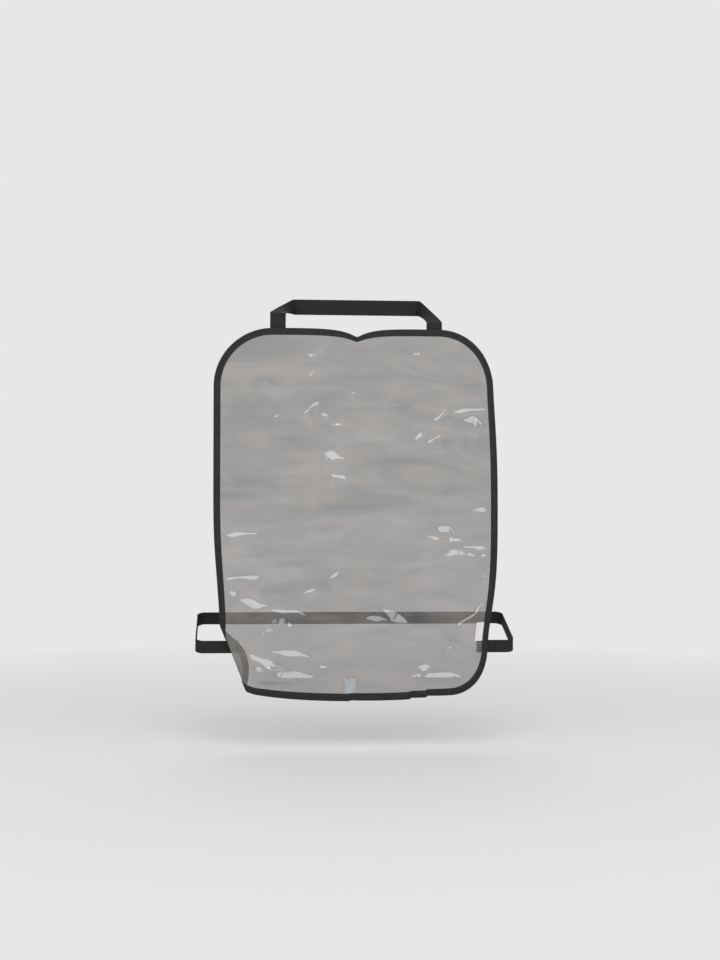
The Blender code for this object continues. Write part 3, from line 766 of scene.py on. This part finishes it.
def loop_side(side, front, back):
    """One side of the lower elastic's loop, from its front strand round and up to its far span."""
    reach = HALF_WIDTH + LOOP_OVERHANG
    high = LOWER_STRAP_Z + LOOP_RISE
    climb = np.array((0, 1, LOOP_RISE / LOOP_DEPTH)) * LOOP_CORNER
    outward = np.array((side * LOOP_CORNER, 0, 0))
    leave = np.array((side * (reach - LOOP_CORNER), front, LOWER_STRAP_Z))
    turned = np.array((side * reach, front, LOWER_STRAP_Z)) + climb
    arrive = np.array((side * reach, back, high)) - climb
    far = np.array((side * (reach - LOOP_CORNER), back, high))
    first = bend(leave, outward / 2, turned, climb / 2)
    second = bend(arrive, climb / 2, far, -outward / 2)
    return np.concatenate((leave[None], first, turned[None], arrive[None], second, far[None]))


edge = pull(np.array((HALF_WIDTH,)), np.array((LOWER_STRAP_Z,)))[0][0]
laps = np.linspace(edge - LOWER_RIGHT_LAP, edge, LAP_CELLS + 1)
level = np.full_like(laps, LOWER_STRAP_Z)
sewn = np.stack((laps, FILM_Y - billow(laps, level) + STRAP_OFFSET, level), axis=-1)
fold_way = past_fold(0.0, 0.0)[1]
fold_x = FOLD_START[0] + (FOLD_START[1] - LOWER_STRAP_Z) * fold_way[1] / fold_way[0]
fold_billow = billow(np.array((fold_x,)), np.array((LOWER_STRAP_Z,)))[0]
flap_y = FILM_Y + 2 * FOLD_RADIUS + STRAP_OFFSET - fold_billow
left_end = np.array([(fold_x + LOWER_LEFT_LAP * share, flap_y, LOWER_STRAP_Z) for share in (0, 0.5, 1)])
back = FILM_Y + LOOP_DEPTH
route = fill_in(np.concatenate((sewn, loop_side(1, sewn[-1][1], back),
                                loop_side(-1, flap_y, back)[::-1], left_end)))
strap_piece("lower_elastic", "lower_strap", route, np.repeat([(0.0, 0.0, 1.0)], len(route), axis=0),
            LOWER_STRAP_WIDTH, elastic_finish)

# The labels: a small white woven one in the right-hand seam and a small half clear one in the
# bottom seam. Both are bare.
LABEL_LIFT = 0.0010
LABEL_THICKNESS = 0.0003
LABEL_COLUMNS = 15
LABEL_ROWS = 25
SIDE_LABEL = (0.014, 0.030)
SIDE_CURL = 0.0012
YARN_STRETCH = (1.0, 1.0, 14.0)
SATIN_WHITES = ((0.80, 0.76, 0.76, 1), (0.90, 0.86, 0.86, 1))
CARE_LABEL = (0.0185, 0.023)
CARE_CURL = 0.0015
CARE_GREYS = ((0.50, 0.52, 0.55, 1), (0.62, 0.64, 0.67, 1))


def label_piece(name, node, corner, size, curl, finish):
    """A thin label from its corner on the flat panel, curling off the film on its free side."""
    share_across, share_up = np.meshgrid(np.linspace(0, 1, LABEL_COLUMNS), np.linspace(0, 1, LABEL_ROWS))
    across = corner[0] + share_across * size[0]
    up = corner[1] + share_up * size[1]
    lift = curl(share_across, share_up)
    low = hang(across, up, FILM_THICKNESS / 2 + LABEL_LIFT + lift)
    high = hang(across, up, FILM_THICKNESS / 2 + LABEL_LIFT + LABEL_THICKNESS + lift)
    index = np.arange(lift.size).reshape(lift.shape)
    rim = np.concatenate((index[0], index[1:, -1], index[-1, -2::-1], index[-2:0:-1, 0])).tolist()
    under = grid_faces(*lift.shape)
    over = [[lift.size + corner for corner in face[::-1]] for face in under]
    sides = [(a, b, b + lift.size, a + lift.size) for a, b in zip(rim, rim[1:] + rim[:1])]
    item = link_mesh(name, np.stack((low, high)), under + over + sides, finish)
    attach(item, "root")
    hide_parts(node)


satin_finish, wire = start_finish("white_satin")
spot = wire.node("ShaderNodeTexCoord", output=3)
drawn_out = wire.node("ShaderNodeMapping", i0=spot, i3=YARN_STRETCH)
yarn = wire.node("ShaderNodeTexNoise", i0=drawn_out, Scale=500.0)
satin = wire.node("ShaderNodeBump", Strength=0.3, Distance=0.0001, Height=yarn)
end_finish(wire.node("ShaderNodeBsdfPrincipled", Base_Color=yarn.range(*FIBRE_RANGE).mix(*SATIN_WHITES),
                     Roughness=0.5, Normal=satin))
care_finish, wire = start_finish("pale_care_label")
spot = wire.node("ShaderNodeTexCoord", output=3)
cloud = wire.node("ShaderNodeTexNoise", i0=spot, Scale=120.0, Detail=2.0)
end_finish(wire.node("ShaderNodeBsdfPrincipled", Base_Color=cloud.range(*FIBRE_RANGE).mix(*CARE_GREYS),
                     Roughness=0.35, Alpha=0.72))
label_edge = HALF_WIDTH - BINDING_WIDTH - CLEARANCE
label_foot = LOWER_STRAP_Z + LOWER_STRAP_WIDTH / 2
label_piece("white_side_label", "side_label",
            (label_edge - SIDE_LABEL[0], label_foot), SIDE_LABEL,
            lambda across, up: SIDE_CURL * (1 - across) ** 2 * up, satin_finish)
label_piece("pale_care_label", "care_label",
            (-CARE_LABEL[0], PANEL_BOTTOM + BINDING_WIDTH + CLEARANCE), CARE_LABEL,
            lambda across, up: CARE_CURL * up ** 2, care_finish)

# The thread: black, in one row of running stitches all round the binding on both its faces, and in
# three rows to and fro across each strap end.
THREAD_WIDTH = 0.0005
THREAD_SIDES = 6
THREAD_TWIST = 0.0011
# Two blacks of the thread: the darker one is painted shade in the grooves of its twist, the lighter one lies
# on the plies
THREAD_PLY_SHADE_BLACKS = ((0.022, 0.022, 0.023, 1), (0.075, 0.075, 0.080, 1))
STITCH_STEPS = 6
STITCH_FULLNESS = 0.5
SEAM_STITCH = 0.0036
SEAM_LOW = 0.0006
SEAM_HIGH = 0.00115
LAP_STITCH = 0.0038
LAP_MARGIN = 0.0015
LAP_ROWS = 3
LAP_LOW = -0.0003
LAP_HIGH = 0.0003


def thread_piece(name, routes, finish, node=None, closed=False):
    """Round threads along their centre points, given the way up from the cloth at each."""
    points, faces, runs = [], [], []
    turns = np.linspace(0, math.tau, THREAD_SIDES, endpoint=False)[None, :, None]
    for centres, ways in routes:
        ahead, behind = np.roll(centres, -1, axis=0), np.roll(centres, 1, axis=0)
        if not closed:
            ahead[-1], behind[0] = centres[-1], centres[0]
        along = (ahead - behind) / np.linalg.norm(ahead - behind, axis=1)[:, None]
        aside = np.cross(along, ways)
        aside /= np.linalg.norm(aside, axis=1)[:, None]
        over = np.cross(aside, along)
        ring = (np.cos(turns) * aside[:, None] + np.sin(turns) * over[:, None]) * THREAD_WIDTH / 2
        rows, first = len(centres), len(points) * THREAD_SIDES
        tube = grid_faces(rows, THREAD_SIDES, True, True) if closed else tube_faces(rows, THREAD_SIDES)
        faces += [[first + corner for corner in face] for face in tube]
        points += list(centres[:, None] + ring)
        length = running_length(centres)[:, None]
        runs.append(np.stack(np.broadcast_arrays(length, turns[:, :, 0] / math.tau), axis=-1))
    item = link_mesh(name, points, faces, finish, np.concatenate(runs))
    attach(item, "root")
    if node:
        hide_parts(node)


def stitch_arch(angle):
    """How far a thread is over its holes, which are half a turn apart, from 0 to 1."""
    return np.abs(np.sin(angle)) ** STITCH_FULLNESS


def lap_stitches(width):
    """A strap end's stitches: places along its width, from the edge, and over the binding."""
    count = round((width - 2 * LAP_MARGIN) / LAP_STITCH)
    holes = []
    for row in range(LAP_ROWS):
        places = np.linspace(-0.5, 0.5, count + 1)[::-1 if row % 2 else 1] * (width - 2 * LAP_MARGIN)
        holes += [(place, BINDING_WIDTH * (row + 0.5) / LAP_ROWS) for place in places]
    share = np.arange(STITCH_STEPS * (len(holes) - 1) + 1) / STITCH_STEPS
    hole = np.arange(len(holes))
    along, from_edge = (np.interp(share, hole, column) for column in np.transpose(holes))
    return along, from_edge, LAP_LOW + (LAP_HIGH - LAP_LOW) * stitch_arch(math.pi * share)


def on_cloth(across, up, height):
    """Hanging places of points at heights over the film, and the way up from the cloth there."""
    low = hang(across, up, height)
    return low, (hang(across, up, height + SMALL_STEP) - low) / SMALL_STEP


thread_finish, wire = start_finish("black_thread")
along, around = run_of(wire)
twist = wire.math("SINE", along * (math.tau / THREAD_TWIST) + around * math.tau)
ply = wire.node("ShaderNodeBump", Strength=0.6, Distance=0.0001, Height=twist)
# The colour follows the twist, darker in its grooves: painted shade
end_finish(wire.node("ShaderNodeBsdfPrincipled", Base_Color=twist.range(-1.0, 1.0).mix(*THREAD_PLY_SHADE_BLACKS),
                     Roughness=0.55, Normal=ply))

rim = edge_run(SEAM_INSET, SEAM_STITCH / STITCH_STEPS)
rim_length = running_length(rim)
stitches = round(rim_length[-1] / SEAM_STITCH)
arch = stitch_arch(math.pi * stitches * rim_length / (rim_length[-1] + rim_length[1]))
rise = SEAM_LOW + (SEAM_HIGH - SEAM_LOW) * arch
front = on_cloth(rim[:, 0], rim[:, 1], rise)
rear, ways = on_cloth(rim[:, 0], rim[:, 1], -rise)
thread_piece("seam_thread", (front, (rear, -ways)), thread_finish, closed=True)

along, from_edge, rise = lap_stitches(UPPER_STRAP_WIDTH)
for name, side in (("upper_left", -1), ("upper_right", 1)):
    across = side * UPPER_STRAP_SPACING / 2 + along
    route = on_cloth(across, PANEL_TOP - from_edge, BINDING_HALF + rise)
    thread_piece(name + "_thread", (route,), thread_finish, name + "_stitching")
along, from_edge, rise = lap_stitches(LOWER_STRAP_WIDTH)
route = on_cloth(HALF_WIDTH - from_edge, LOWER_STRAP_Z + along, BINDING_HALF + rise)
thread_piece("lower_right_thread", (route,), thread_finish, "lower_right_stitching")
rear = np.stack((fold_x + from_edge, flap_y + STRAP_THICKNESS / 2 + rise, LOWER_STRAP_Z + along), axis=-1)
route = (rear, np.broadcast_to((0.0, 1.0, 0.0), rear.shape))
thread_piece("lower_left_thread", (route,), thread_finish, "lower_left_stitching")
